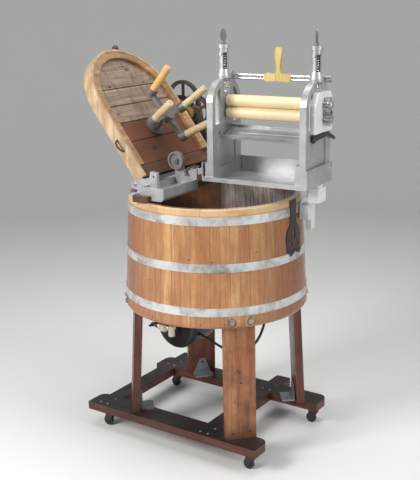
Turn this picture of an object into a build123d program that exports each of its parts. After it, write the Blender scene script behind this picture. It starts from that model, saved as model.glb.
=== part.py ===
from build123d import *
import math
import os

# Wringer washing machine with a stave tub, a hinged lid with a peg dolly, and a swinging wringer.
# Millimetres. +Z is up, the origin is on the floor below the tub's axis, +X runs along the runners.

# ---------------------------------------------------------------- driving dimensions
# base frame
PLANK = 29.4                    # thickness of runners and cross-members
BASE_TOP = 97.0                 # height of the base frame's upper face
BASE_LOW = BASE_TOP - PLANK
RUNNER_W = 88.0
RUNNER_Y = 209.0                # centre line of each runner
RUNNER_X0, RUNNER_X1 = -407.0, 312.0
CROSS_W = 61.0
CROSS_X = (-347.0, 97.0)        # centre lines of the cross-members
CROSS_Y1 = 322.0                # the rear overhang of the cross-members
RUNNER_END_R = 30.0

# casters
CASTER_XY = ((-333.0, -RUNNER_Y), (277.0, -RUNNER_Y), (-326.0, RUNNER_Y), (293.0, RUNNER_Y))
CASTER_NAMES = ("front_left", "front_right", "rear_left", "rear_right")
WHEEL_R, WHEEL_W = 19.0, 13.0
CASTER_TRAIL = 16.0
AXLE_R = 3.0
KINGPIN_R = 5.0
RUN_GAP = 0.05                  # radial clearance of every running fit

# tub
STAVE_COUNT = 30
TUB_TOP, TUB_LOW = 891.0, 499.0
RIM_R = 298.7                   # outer radius at the rim
FLARE = math.tan(math.radians(3.16))
STAVE_T = 22.0
SEAM = 0.25                     # half the gap between neighbouring staves
FLOOR_Z, FLOOR_T, CROZE = 552.0, 20.0, 6.0
HOOP_H, HOOP_T = 28.0, 2.0
HOOP_LOW = (839.0, 687.0, 541.0)
HOOP_GAP = 0.05
FLOOR_SEAMS = (-200, -120, -40, 40, 120, 200)
BATTEN_Y, BATTEN_T = 150.0, 32.0

# legs
LEG_W, LEG_T = 106.0, 28.0
LEG_ANGLE = {"front_right": -41.7, "rear_right": 39.5, "rear_left": 136.5, "front_left": -139.0}
LEG_FOOT_R = {-41.7: 305.0, 39.5: 313.0, 136.5: 305.0, -139.0: 316.0}    # outer face at the foot
LEG_TOP = 545.0
LEG_TOP_R = 290.5               # outer face at the top, from the tub's axis
BOLT_Z, BOLT_HALF = 519.0, 33.0
BOLT_R = 4.0

# lid, leaning back on its hinge
LID_LEAN = 37.5                 # degrees past upright
LID_ORIGIN = (-168.0, 0.0, 1000.0)       # lower edge of the boards, on the under face
LID_HALF, LID_STRAIGHT, LID_TAIL = 210.0, 240.0, -44.0
LID_T = 45.0
HINGE_S, HINGE_H = -52.0, -40.0
HINGE_PIN_R = 5.0
BOARD_SEAMS = (-1.0, 91.0, 166.0, 233.0, 300.0, 441.0)

# dolly
DOLLY_S, DOLLY_H = 129.0, 64.0
DOLLY_ARM = 92.0
PEG_L, PEG_R, PEG_SPLAY = 128.0, 13.0, 12.0
DOLLY_TURN = 8.0
DOLLY_SHAFT_R = 10.0

# gear trough on the bridge
TROUGH_AXIS_X, TROUGH_AXIS_Z = -98.0, 1000.0

# wringer
WRINGER_TURN = 3.9              # plan angle between the rolls and +X
ROLL_Z0, ROLL_Z1 = 1163.0, 1203.0
ROLL_R0, ROLL_R1 = 20.0, 19.4
ROLL_W0, ROLL_W1 = 56.0, 355.0
SHAFT_R = 9.0
FRAME_W = (28.0, 361.0)         # inner-left corner of each side frame along the rolls
FRAME_T = 22.0
FRAME_HALF = 98.0
FRAME_LOW, FRAME_TOP = 947.0, 1276.0
SLOT_HALF = 23.0
BARREL_TOP, BARREL_R, BARREL_BORE = 1373.0, 17.0, 13.5
TRAY_W0, TRAY_W1, TRAY_N0, TRAY_N1 = 8.0, 389.0, -102.0, 104.0
TRAY_LOW, TRAY_LIP, TRAY_BACK, TRAY_END = 943.0, 958.0, 1001.0, 1006.0
TRAY_T = 4.0
POST_R = 15.0
POST_REACH = 309.5              # the post's hollow face, from the tub's axis
SCREW_R, SCREW_HEAD = 5.0, 1398.0
PIVOT_R = 5.0
SWIVEL_W, SWIVEL_N = 364.0, 30.0         # the wringer's swivel axis

# drive stand beside the tub
FLY_X, FLY_Z, FLY_R = -341.0, 1151.0, 71.0
FLY_Y = 300.0
GEAR_Y = 277.0
MODULE = 8.0 / 3.0
PINION_T, RING_T = 14, 48
MOTOR_X, MOTOR_Z, MOTOR_R = -150.0, 374.0, 84.0
MOTOR_Y0, MOTOR_Y1 = -50.0, 110.0
MOTOR_PULLEY_R = 24.0

# drain
SPOUT_BORE = 7.0


def tub_radius(z):
    """Outer radius of the tub at a height."""
    return RIM_R + (TUB_TOP - z) * FLARE


# ---------------------------------------------------------------- working planes
turn = math.radians(WRINGER_TURN)
roll_way = Vector(math.cos(turn), math.sin(turn), 0)
across_way = Vector(-math.sin(turn), math.cos(turn), 0)
wringer_plan = Plane(origin=(0, 0, 0), x_dir=roll_way, z_dir=(0, 0, 1))


def side_plane(w):
    """Plane across the rolls at w: its x runs across them, its y runs up."""
    return Plane(origin=roll_way * w, x_dir=across_way, z_dir=roll_way)


lean = math.radians(LID_LEAN)
lid_up = Vector(-math.sin(lean), 0, math.cos(lean))
lid_out = Vector(math.cos(lean), 0, math.sin(lean))
lid_plane = Plane(origin=LID_ORIGIN, x_dir=lid_up, z_dir=lid_out)
hinge = Vector(*LID_ORIGIN) + lid_up * HINGE_S + lid_out * HINGE_H


def along_y(x, y0, y1, z):
    """Location of a cylinder's middle, its axis along Y."""
    return Location((x, (y0 + y1) / 2, z), (90, 0, 0))


pieces = {}


# ---------------------------------------------------------------- base frame
def runner(y, x1):
    with BuildPart() as plank:
        with Locations(((RUNNER_X0 + x1) / 2, y, BASE_TOP - PLANK / 2)):
            Box(x1 - RUNNER_X0, RUNNER_W, PLANK)
        far_corners = plank.edges().filter_by(Axis.Z).group_by(Axis.Y)[-1]
        fillet(far_corners, RUNNER_END_R)
        for x in CROSS_X:
            with Locations((x, y, BASE_TOP - PLANK / 4)):
                Box(CROSS_W, RUNNER_W, PLANK / 2, mode=Mode.SUBTRACT)
    return plank


def cross_member(x):
    y0 = -RUNNER_Y - RUNNER_W / 2
    with BuildPart() as plank:
        with Locations((x, (y0 + CROSS_Y1) / 2, BASE_TOP - PLANK / 2)):
            Box(CROSS_W, CROSS_Y1 - y0, PLANK)
        with Locations((x, -RUNNER_Y, BASE_LOW + PLANK / 4), (x, RUNNER_Y, BASE_LOW + PLANK / 4)):
            Box(CROSS_W, RUNNER_W, PLANK / 2, mode=Mode.SUBTRACT)
        end_edges = plank.edges().filter_by(Axis.Z).group_by(Axis.Y)[-1]
        fillet(end_edges, 8)
    return plank


def joined(parts):
    """One node holding several separate solids."""
    with BuildPart() as group:
        for part in parts:
            add(part.part)
    return group


pieces["runners"] = joined([runner(-RUNNER_Y, RUNNER_X1), runner(RUNNER_Y, RUNNER_X1 + 8)])
pieces["cross_members"] = joined([cross_member(x) for x in CROSS_X])


# ---------------------------------------------------------------- casters
PLATE_T, FORK_CHEEK = 3.0, 3.0
with BuildPart() as caster_plates:
    for x, y in CASTER_XY:
        with Locations((x, y, BASE_LOW - PLATE_T / 2)):
            Box(44, 44, PLATE_T)
        with Locations((x, y, BASE_LOW - PLATE_T - 4)):
            Cylinder(13, 8)
        with Locations((x, y, BASE_LOW - 6)):
            Cylinder(KINGPIN_R, 12, mode=Mode.SUBTRACT)
pieces["caster_plates"] = caster_plates


def caster_fork(x, y):
    half = WHEEL_W / 2 + 1.5
    crown = BASE_LOW - PLATE_T - 9
    axle_x = x - CASTER_TRAIL
    with BuildPart() as fork:
        with Locations((x, y, BASE_LOW - 6.3)):
            Cylinder(KINGPIN_R - RUN_GAP, 12)
        with BuildSketch(Plane.XY.offset(crown - 4)):
            with Locations((x, y)):
                Circle(half + FORK_CHEEK)
            with Locations(((x + axle_x) / 2, y)):
                Rectangle(CASTER_TRAIL + 12, 2 * (half + FORK_CHEEK))
        extrude(amount=4)
        for side in (-1, 1):
            with BuildSketch(Plane.XZ.offset(-(y + side * half) - (FORK_CHEEK if side > 0 else 0))):
                with BuildLine():
                    Polyline((x + 8, crown - 2), (axle_x - 8, crown - 2), (axle_x - 8, WHEEL_R),
                             (axle_x - 5, WHEEL_R - 7), (axle_x + 5, WHEEL_R - 7), (x + 8, crown - 12),
                             close=True)
                make_face()
            extrude(amount=FORK_CHEEK)
        with Locations(Location((axle_x, y, WHEEL_R), (90, 0, 0))):
            Cylinder(AXLE_R - RUN_GAP, 2 * half + 2 * FORK_CHEEK + 3)
    return fork


def caster_wheel(x, y):
    with BuildPart() as wheel:
        with Locations(Location((x - CASTER_TRAIL, y, WHEEL_R), (90, 0, 0))):
            Cylinder(WHEEL_R, WHEEL_W)
        fillet(wheel.edges().filter_by(GeomType.CIRCLE), 2.5)
        with Locations(Location((x - CASTER_TRAIL, y, WHEEL_R), (90, 0, 0))):
            Cylinder(9, WHEEL_W + 2)
            Cylinder(AXLE_R, WHEEL_W + 4, mode=Mode.SUBTRACT)
    return wheel


for place, (x, y) in zip(CASTER_NAMES, CASTER_XY):
    pieces[f"caster_fork_{place}"] = caster_fork(x, y)
    pieces[f"caster_wheel_{place}"] = caster_wheel(x, y)


# ---------------------------------------------------------------- tub
SPOUT_X, SPOUT_Y = -8.0, -262.0
with BuildPart() as stave:
    half_turn = 180 / STAVE_COUNT - math.degrees(SEAM / RIM_R)
    with BuildSketch(Plane.XZ.rotated((0, 0, -half_turn))):
        with BuildLine():
            Polyline((RIM_R - STAVE_T, TUB_TOP), (RIM_R - 3, TUB_TOP), (RIM_R, TUB_TOP - 3),
                     (tub_radius(TUB_LOW + 8), TUB_LOW + 8), (tub_radius(TUB_LOW) - 6, TUB_LOW),
                     (tub_radius(TUB_LOW) - STAVE_T, TUB_LOW),
                     (tub_radius(FLOOR_Z) - STAVE_T, FLOOR_Z),
                     (tub_radius(FLOOR_Z) - STAVE_T + CROZE, FLOOR_Z),
                     (tub_radius(FLOOR_Z) - STAVE_T + CROZE, FLOOR_Z + FLOOR_T),
                     (tub_radius(FLOOR_Z + FLOOR_T) - STAVE_T, FLOOR_Z + FLOOR_T), close=True)
        make_face()
    revolve(axis=Axis.Z, revolution_arc=2 * half_turn)


def leg_plane(angle, radius, z):
    """Plane on a leg's outer face: its z points away from the tub's axis, its y runs up."""
    a = math.radians(angle)
    return Plane(origin=(radius * math.cos(a), radius * math.sin(a), z),
                 x_dir=(-math.sin(a), math.cos(a), 0), z_dir=(math.cos(a), math.sin(a), 0))


SPOT_R = 15.0
SPOT_SEAT = 314.5               # distance of the bolt washers' seats from the tub's axis
with BuildPart() as tub_staves:
    with PolarLocations(0, STAVE_COUNT):
        add(stave.part)
    for angle in LEG_ANGLE.values():
        with BuildSketch(leg_plane(angle, SPOT_SEAT, BOLT_Z)):
            with Locations((-BOLT_HALF, 0), (BOLT_HALF, 0)):
                Circle(SPOT_R)
        extrude(amount=20, mode=Mode.SUBTRACT)
        with BuildSketch(leg_plane(angle, SPOT_SEAT, BOLT_Z)):
            with Locations((-BOLT_HALF, 0), (BOLT_HALF, 0)):
                Circle(BOLT_R)
        extrude(amount=-60, mode=Mode.SUBTRACT)
pieces["tub_staves"] = tub_staves

with BuildPart() as tub_floor:
    with BuildSketch(Plane.XY.offset(FLOOR_Z)):
        Circle(tub_radius(FLOOR_Z) - STAVE_T + CROZE - 0.4)
    extrude(amount=FLOOR_T)
    with Locations((SPOUT_X, SPOUT_Y, FLOOR_Z + FLOOR_T / 2)):
        Cylinder(14, FLOOR_T, mode=Mode.SUBTRACT)
    for y in FLOOR_SEAMS:
        with Locations((0, y, FLOOR_Z + FLOOR_T)):
            Box(2 * RIM_R, 1.2, 3, mode=Mode.SUBTRACT)
    for y in (-BATTEN_Y, BATTEN_Y):
        with Locations((0, y, FLOOR_Z - BATTEN_T / 2)):
            Box(340, 50, BATTEN_T)
pieces["tub_floor"] = tub_floor


def hoop(low):
    with BuildPart() as band:
        with BuildSketch(Plane.XZ):
            with BuildLine():
                Polyline((tub_radius(low) + HOOP_GAP, low), (tub_radius(low) + HOOP_T, low),
                         (tub_radius(low + HOOP_H) + HOOP_T, low + HOOP_H),
                         (tub_radius(low + HOOP_H) + HOOP_GAP, low + HOOP_H), close=True)
            make_face()
        revolve(axis=Axis.Z)
    return band


pieces["hoops"] = joined([hoop(low) for low in HOOP_LOW])


# ---------------------------------------------------------------- legs
def leg(angle):
    a = math.radians(angle)
    splay = math.atan2(LEG_FOOT_R[angle] - LEG_TOP_R, LEG_TOP - BASE_TOP)
    outward = Vector(math.cos(a), math.sin(a), 0)
    down_slope = outward * math.sin(splay) - Vector(0, 0, math.cos(splay))
    face = Plane(origin=outward * LEG_FOOT_R[angle] + Vector(0, 0, BASE_TOP),
                 x_dir=(-math.sin(a), math.cos(a), 0),
                 z_dir=down_slope)
    length = (LEG_TOP - BASE_TOP) / math.cos(splay)
    with BuildPart() as plank:
        with BuildSketch(face):
            with Locations((0, -LEG_T / 2 if face.y_dir.dot(outward) > 0 else LEG_T / 2)):
                Rectangle(LEG_W, LEG_T)
        extrude(amount=-length)
        extrude(plank.faces().sort_by(Axis.Z)[0], amount=3)
        with Locations((0, 0, BASE_TOP - 25)):
            Box(1000, 1000, 50, mode=Mode.SUBTRACT)
        with BuildSketch(leg_plane(angle, SPOT_SEAT, BOLT_Z)):
            with Locations((-BOLT_HALF, 0), (BOLT_HALF, 0)):
                Circle(BOLT_R)
        extrude(amount=-90, mode=Mode.SUBTRACT)
    return plank


pieces["legs"] = joined([leg(angle) for angle in LEG_ANGLE.values()])

WASHER_T, HEAD_T = 3.0, 6.0
with BuildPart() as leg_bolts:
    for angle in LEG_ANGLE.values():
        seat = leg_plane(angle, SPOT_SEAT, BOLT_Z)
        inner = leg_plane(angle, LEG_TOP_R - LEG_T - 2.5, BOLT_Z)
        for x in (-BOLT_HALF, BOLT_HALF):
            with BuildSketch(seat):
                with Locations((x, 0)):
                    Circle(11)
            extrude(amount=WASHER_T)
            with BuildSketch(seat.offset(WASHER_T)):
                with Locations((x, 0)):
                    RegularPolygon(7.5, 6)
            extrude(amount=HEAD_T)
            with BuildSketch(inner.offset(-8)):
                with Locations((x, 0)):
                    Circle(BOLT_R - RUN_GAP)
            extrude(amount=SPOT_SEAT - (LEG_TOP_R - LEG_T - 2.5) + 8)
            with BuildSketch(inner.offset(-6)):
                with Locations((x, 0)):
                    RegularPolygon(8, 6)
            extrude(amount=6)
pieces["leg_bolts"] = leg_bolts

BRACKET_W, BRACKET_H, BRACKET_REACH, BRACKET_T = 70.0, 62.0, 46.0, 6.0
with BuildPart() as leg_brackets:
    for angle in LEG_ANGLE.values():
        a = math.radians(angle)
        out_r = LEG_FOOT_R[angle] - LEG_T - 4.5
        base = leg_plane(angle, out_r, BASE_TOP)
        with BuildSketch(base):
            with BuildLine():
                Polyline((-BRACKET_W / 2, 0), (BRACKET_W / 2, 0), (10, BRACKET_H), (-10, BRACKET_H),
                         close=True)
            make_face()
            with Locations((0, BRACKET_H - 14)):
                Circle(4.5, mode=Mode.SUBTRACT)
        extrude(amount=-BRACKET_T)
        with BuildSketch(Plane(origin=base.origin, x_dir=base.x_dir, z_dir=(0, 0, 1))):
            with Locations((0, BRACKET_REACH / 2)):
                Rectangle(BRACKET_W, BRACKET_REACH)
        extrude(amount=BRACKET_T)
pieces["leg_brackets"] = leg_brackets


# ---------------------------------------------------------------- bridge across the rim, with the hinge
BEAM_X0, BEAM_X1, BEAM_Y, BEAM_TOP = -137.0, -75.0, 288.0, 913.0
with BuildPart() as bridge_beam:
    with Locations(((BEAM_X0 + BEAM_X1) / 2, 0, (TUB_TOP + BEAM_TOP) / 2)):
        Box(BEAM_X1 - BEAM_X0, 2 * BEAM_Y, BEAM_TOP - TUB_TOP)
    fillet(bridge_beam.edges().filter_by(Axis.Z), 6)
    with Locations(((BEAM_X0 + BEAM_X1) / 2, 0, TUB_TOP + 6)):
        Box(BEAM_X1 - BEAM_X0 - 14, 420, 12, mode=Mode.SUBTRACT)
pieces["bridge_beam"] = bridge_beam

LUG_Y, LUG_T = 214.0, 14.0
TROUGH_X0, TROUGH_X1, TROUGH_Y0, TROUGH_Y1 = -118.0, -22.0, -268.0, -72.0
TROUGH_LOW, TROUGH_TOP, TROUGH_WALL = 897.0, 940.0, 6.0
with BuildPart() as gear_trough:
    with Locations(((TROUGH_X0 + TROUGH_X1) / 2, (TROUGH_Y0 + TROUGH_Y1) / 2, (TROUGH_LOW + TROUGH_TOP) / 2)):
        Box(TROUGH_X1 - TROUGH_X0, TROUGH_Y1 - TROUGH_Y0, TROUGH_TOP - TROUGH_LOW)
    fillet(gear_trough.edges().filter_by(Axis.Y).group_by(Axis.Z)[0].sort_by(Axis.X)[-1:], 16)
    with Locations(((TROUGH_X0 + TROUGH_X1) / 2, (TROUGH_Y0 + TROUGH_Y1) / 2, BEAM_TOP + TROUGH_WALL + 20)):
        Box(TROUGH_X1 - TROUGH_X0 - 2 * TROUGH_WALL, TROUGH_Y1 - TROUGH_Y0 - 2 * TROUGH_WALL, 40,
            mode=Mode.SUBTRACT)
    with Locations(((BEAM_X0 + BEAM_X1) / 2, 0, BEAM_TOP - 20)):
        Box(BEAM_X1 - BEAM_X0, 2 * BEAM_Y, 40, mode=Mode.SUBTRACT)
    with BuildSketch(Plane.XZ.offset(-TROUGH_Y1)):
        with BuildLine():
            Polyline((-112, 938), (-112, 1004), (-98, 1012), (-84, 1004), (-70, 946), (-50, 946),
                     (-46, 974), (-22, 974), (-22, 906), (-40, 900), (-60, 938), close=True)
        make_face()
    extrude(amount=TROUGH_WALL)
    with Locations(Location((TROUGH_AXIS_X, TROUGH_Y1, TROUGH_AXIS_Z), (90, 0, 0))):
        Cylinder(6, 40, mode=Mode.SUBTRACT)
    with Locations((-100, -LUG_Y - LUG_T / 2, TROUGH_TOP)):
        Box(46, LUG_T + 0.6, 90, mode=Mode.SUBTRACT)
pieces["gear_trough"] = gear_trough


def hinge_lug(side):
    """Cast lug beside the lid: side is -1 at the front and 1 at the rear."""
    start = LUG_Y if side > 0 else -LUG_Y - LUG_T
    with BuildPart() as lug:
        with BuildSketch(Plane.XZ.offset(-start - LUG_T)):
            with BuildLine():
                Polyline((BEAM_X0, BEAM_TOP), (-78, BEAM_TOP), (-78, 982), (-104, 984), (-108, 962),
                         (-122, 960), (-124, 956), (-160, 955), (-184, 946), (-184, 922), (-160, 916),
                         close=True)
            make_face()
            with Locations((hinge.X, hinge.Z)):
                Circle(HINGE_PIN_R, mode=Mode.SUBTRACT)
            with Locations((-91, 968)):
                Circle(4, mode=Mode.SUBTRACT)
        extrude(amount=LUG_T)
        foot_y = side * (LUG_Y + LUG_T / 2 + 8)
        with Locations(((BEAM_X0 - 172) / 2, foot_y, TUB_TOP + 9)):
            Box(BEAM_X0 + 172, LUG_T + 28, 18)
        with Locations(((BEAM_X0 - 160) / 2, start + LUG_T / 2, TUB_TOP + 22)):
            Box(BEAM_X0 + 160, LUG_T, 20)
    return lug


pieces["hinge_lugs"] = joined([hinge_lug(-1), hinge_lug(1)])

with BuildPart() as hinge_pin:
    with Locations(Location((hinge.X, 0, hinge.Z), (90, 0, 0))):
        Cylinder(HINGE_PIN_R, 2 * (LUG_Y + LUG_T) + 10)
pieces["hinge_pin"] = hinge_pin


# ---------------------------------------------------------------- lid
def lid_outline(inset):
    """Straight-sided outline with a round top, drawn in the lid's own plane."""
    half = LID_HALF - inset
    with BuildLine() as outline:
        start = Line((LID_TAIL, half), (LID_TAIL, -half))
        low_side = Line(start @ 1, (LID_STRAIGHT, -half))
        crown = ThreePointArc(low_side @ 1, (LID_STRAIGHT + half, 0), (LID_STRAIGHT, half))
        Line(crown @ 1, start @ 0)
    return outline


def lid_slab(inset, low, high):
    with BuildPart() as slab:
        with BuildSketch(lid_plane.offset(low)):
            add(lid_outline(inset))
            make_face()
        extrude(amount=high - low)
    return slab


RIM_BAND, RING_W, RECESS = 9.0, 26.0, 2.0
RING_LOW, BOARD_LOW = -16.0, -34.0
RAIL_TOP = BOARD_SEAMS[0] - 0.5
with BuildPart() as lid_hoop:
    add(lid_slab(0, -LID_T, 0).part)
    add(lid_slab(RIM_BAND, -LID_T, 0).part, mode=Mode.SUBTRACT)
    with BuildSketch(lid_plane.offset(-LID_T)):
        with Locations((LID_TAIL, 0)):
            Rectangle(2 * RIM_BAND + 2, 2 * (LID_HALF - RIM_BAND))
    extrude(amount=LID_T, mode=Mode.SUBTRACT)
pieces["lid_hoop"] = lid_hoop

with BuildPart() as lid_ring:
    add(lid_slab(RIM_BAND, RING_LOW, -RECESS).part)
    add(lid_slab(RIM_BAND + RING_W, RING_LOW, -RECESS).part, mode=Mode.SUBTRACT)
    with BuildSketch(lid_plane.offset(RING_LOW)):
        with Locations((LID_TAIL, 0)):
            Rectangle(2 * (RAIL_TOP - LID_TAIL) + 1, 2 * LID_HALF)
    extrude(amount=RECESS - RING_LOW, mode=Mode.SUBTRACT)
pieces["lid_ring"] = lid_ring

lid_field = lid_slab(RIM_BAND, BOARD_LOW, RING_LOW)


def lid_board(low, high):
    with BuildPart() as board:
        add(lid_field.part)
        with BuildSketch(lid_plane.offset(BOARD_LOW)):
            with Locations(((low + high) / 2, 0)):
                Rectangle(high - low - 1.2, 2 * LID_HALF)
        extrude(amount=RING_LOW - BOARD_LOW, mode=Mode.INTERSECT)
        with BuildSketch(lid_plane.offset(BOARD_LOW)):
            with Locations((DOLLY_S, 0)):
                Circle(DOLLY_SHAFT_R + 1)
        extrude(amount=RING_LOW - BOARD_LOW, mode=Mode.SUBTRACT)
    return board


lid_boards = joined([lid_board(low, high) for low, high in zip(BOARD_SEAMS[:-1], BOARD_SEAMS[1:])])
pieces["lid_boards"] = lid_boards

with BuildPart() as lid_rails:
    with BuildSketch(lid_plane.offset(-LID_T)):
        with Locations(((LID_TAIL + RAIL_TOP) / 2, 0)):
            Rectangle(RAIL_TOP - LID_TAIL, 2 * (LID_HALF - RIM_BAND))
    extrude(amount=LID_T + RING_LOW)
    with BuildSketch(lid_plane.offset(-LID_T)):
        with Locations((190, -118), (190, 118)):
            Rectangle(340, 42)
    extrude(amount=BOARD_LOW + LID_T)
pieces["lid_rails"] = lid_rails

KNUCKLE_R, KNUCKLE_Y, KNUCKLE_L = 7.7, 165.0, 36.0
with BuildPart() as hinge_straps:
    for y in (-KNUCKLE_Y, KNUCKLE_Y):
        with Locations(Location((hinge.X, y, hinge.Z), (90, 0, 0))):
            Cylinder(KNUCKLE_R, KNUCKLE_L)
        with BuildSketch(lid_plane.offset(-LID_T)):
            with Locations(((HINGE_S + 120) / 2, y)):
                Rectangle(120 - HINGE_S, KNUCKLE_L)
        extrude(amount=HINGE_H - KNUCKLE_R + LID_T)
        with Locations(Location((hinge.X, y, hinge.Z), (90, 0, 0))):
            Cylinder(HINGE_PIN_R + RUN_GAP, KNUCKLE_L + 2, mode=Mode.SUBTRACT)
pieces["hinge_straps"] = hinge_straps

KNOB_TURN = math.radians(15)
knob_way = lid_up * math.cos(KNOB_TURN) + Vector(0, math.sin(KNOB_TURN), 0)
crown_centre = lid_plane.from_local_coords((LID_STRAIGHT, 0, -LID_T / 2))
RING_SET = 4.0
ring_centre = lid_plane.from_local_coords((88, LID_HALF - RING_SET, -LID_T / 2))
with BuildPart() as lid_knob:
    with BuildSketch(Plane(origin=crown_centre + knob_way * LID_HALF, z_dir=knob_way)):
        Circle(5)
    extrude(amount=18)
    with BuildSketch(Plane(origin=crown_centre + knob_way * (LID_HALF + 16), z_dir=knob_way)):
        Circle(11)
    extrude(amount=16)
    fillet(lid_knob.edges().filter_by(GeomType.CIRCLE).sort_by(SortBy.RADIUS)[-2:], 4)
with BuildPart() as side_handle:
    with Locations(Plane(origin=ring_centre, z_dir=lid_out)):
        Torus(22, 3.5)
    with Locations(Plane(origin=ring_centre + Vector(0, 50 - RING_SET, 0), z_dir=(0, 1, 0))):
        Box(100, 100, 100, mode=Mode.SUBTRACT)
pieces["lid_knob"] = joined([lid_knob, side_handle])

CASE_S0, CASE_S1, CASE_HALF, CASE_H = 66.0, 192.0, 62.0, 40.0
with BuildPart() as gear_case:
    with BuildSketch(lid_plane.offset(BOARD_LOW - CASE_H)):
        with Locations((DOLLY_S, 0)):
            RectangleRounded(CASE_S1 - CASE_S0, 2 * CASE_HALF, 20)
    extrude(amount=CASE_H)
    with BuildSketch(lid_plane.offset(BOARD_LOW - CASE_H + 5)):
        with Locations((DOLLY_S, 0)):
            RectangleRounded(CASE_S1 - CASE_S0 - 12, 2 * CASE_HALF - 12, 15)
    extrude(amount=CASE_H - 5, mode=Mode.SUBTRACT)


# ---------------------------------------------------------------- dolly
with BuildPart() as dolly_flange:
    with BuildSketch(lid_plane.offset(RING_LOW)):
        with Locations((DOLLY_S, 0)):
            Circle(34)
            Circle(DOLLY_SHAFT_R + RUN_GAP, mode=Mode.SUBTRACT)
    extrude(amount=7)
    with BuildSketch(lid_plane.offset(RING_LOW + 7)):
        with Locations((DOLLY_S, 0)):
            Circle(18)
            Circle(DOLLY_SHAFT_R + RUN_GAP, mode=Mode.SUBTRACT)
    extrude(amount=26)
pieces["dolly_housing"] = joined([gear_case, dolly_flange])

arm_angles = [DOLLY_TURN + 90 * k for k in range(4)]
dolly_centre = Plane(origin=lid_plane.from_local_coords((DOLLY_S, 0, 0)), x_dir=lid_up, z_dir=lid_out)


def peg_plane(angle):
    """Plane at a peg's root, its z along the peg."""
    a = math.radians(angle)
    tilt = math.radians(PEG_SPLAY)
    outward = lid_up * math.cos(a) + dolly_centre.y_dir * math.sin(a)
    along = lid_out * math.cos(tilt) + outward * math.sin(tilt)
    side = outward * math.cos(tilt) - lid_out * math.sin(tilt)
    root = dolly_centre.origin + outward * DOLLY_ARM + lid_out * (DOLLY_H - 8)
    return Plane(origin=root, x_dir=side, z_dir=along)


SOCKET_R, SOCKET_H = 18.0, 24.0
with BuildPart() as dolly_cross:
    with BuildSketch(dolly_centre.offset(BOARD_LOW - 22)):
        Circle(DOLLY_SHAFT_R)
    extrude(amount=DOLLY_H + 22 - BOARD_LOW)
    with BuildSketch(dolly_centre.offset(DOLLY_H - 20)):
        Circle(24)
    extrude(amount=30)
    with BuildSketch(dolly_centre.offset(DOLLY_H - 10)):
        with PolarLocations(0, 4, start_angle=DOLLY_TURN):
            Polygon((0, -13), (DOLLY_ARM, -8), (DOLLY_ARM, 8), (0, 13), align=None)
    extrude(amount=13)
    for angle in arm_angles:
        with BuildSketch(peg_plane(angle)):
            Circle(SOCKET_R)
        extrude(amount=SOCKET_H)
    for angle in arm_angles:
        with BuildSketch(peg_plane(angle).offset(6)):
            Circle(PEG_R - 1)
        extrude(amount=60, mode=Mode.SUBTRACT)
    with BuildSketch(dolly_centre.offset(BOARD_LOW - 34)):
        RegularPolygon(46, 24)
    extrude(amount=14)
pieces["dolly_cross"] = dolly_cross

with BuildPart() as dolly_pegs:
    for angle in arm_angles:
        root = peg_plane(angle)
        with BuildSketch(root.offset(6)):
            Circle(PEG_R - 1)
        with BuildSketch(root.offset(SOCKET_H)):
            Circle(PEG_R - 1)
        loft()
        with BuildSketch(root.offset(SOCKET_H)):
            Circle(PEG_R)
        extrude(amount=PEG_L - SOCKET_H)
    fillet(dolly_pegs.edges().filter_by(GeomType.CIRCLE).group_by(lambda edge: round(
        (edge.center() - dolly_centre.origin).dot(lid_out)))[-1], 5)
pieces["dolly_pegs"] = dolly_pegs

# ---------------------------------------------------------------- wringer
with BuildPart(wringer_plan) as wringer_tray:
    mid_w, mid_n = (TRAY_W0 + TRAY_W1) / 2, (TRAY_N0 + TRAY_N1) / 2
    long_w, long_n = TRAY_W1 - TRAY_W0, TRAY_N1 - TRAY_N0
    with Locations((mid_w, mid_n, (TRAY_LOW + TRAY_END) / 2)):
        Box(long_w, long_n, TRAY_END - TRAY_LOW)
    with Locations((mid_w, mid_n, TRAY_LOW + TRAY_T + 50)):
        Box(long_w - 2 * TRAY_T, long_n - 2 * TRAY_T, 100, mode=Mode.SUBTRACT)
    with Locations((mid_w, TRAY_N0, TRAY_LIP + 50)):
        Box(long_w - 2 * TRAY_T, 30, 100, mode=Mode.SUBTRACT)
    with Locations((mid_w, TRAY_N1, TRAY_BACK + 50)):
        Box(long_w - 2 * TRAY_T, 30, 100, mode=Mode.SUBTRACT)
    with Locations((SWIVEL_W, SWIVEL_N, (887 + FRAME_LOW) / 2)):
        Cylinder(POST_R - RUN_GAP, FRAME_LOW - 887)
pieces["wringer_tray"] = wringer_tray

BARREL_LOW = 1262.0
ROD_N, ROD_Z, ROD_HALF, ROD_R = 40.0, 1279.0, 6.0, 4.5
DRUM_R = 11.0
BOARD_TILT, BOARD_Z = 21.0, 1096.0
LEVER_N, LEVER_Z = -52.0, 1100.0


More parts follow.
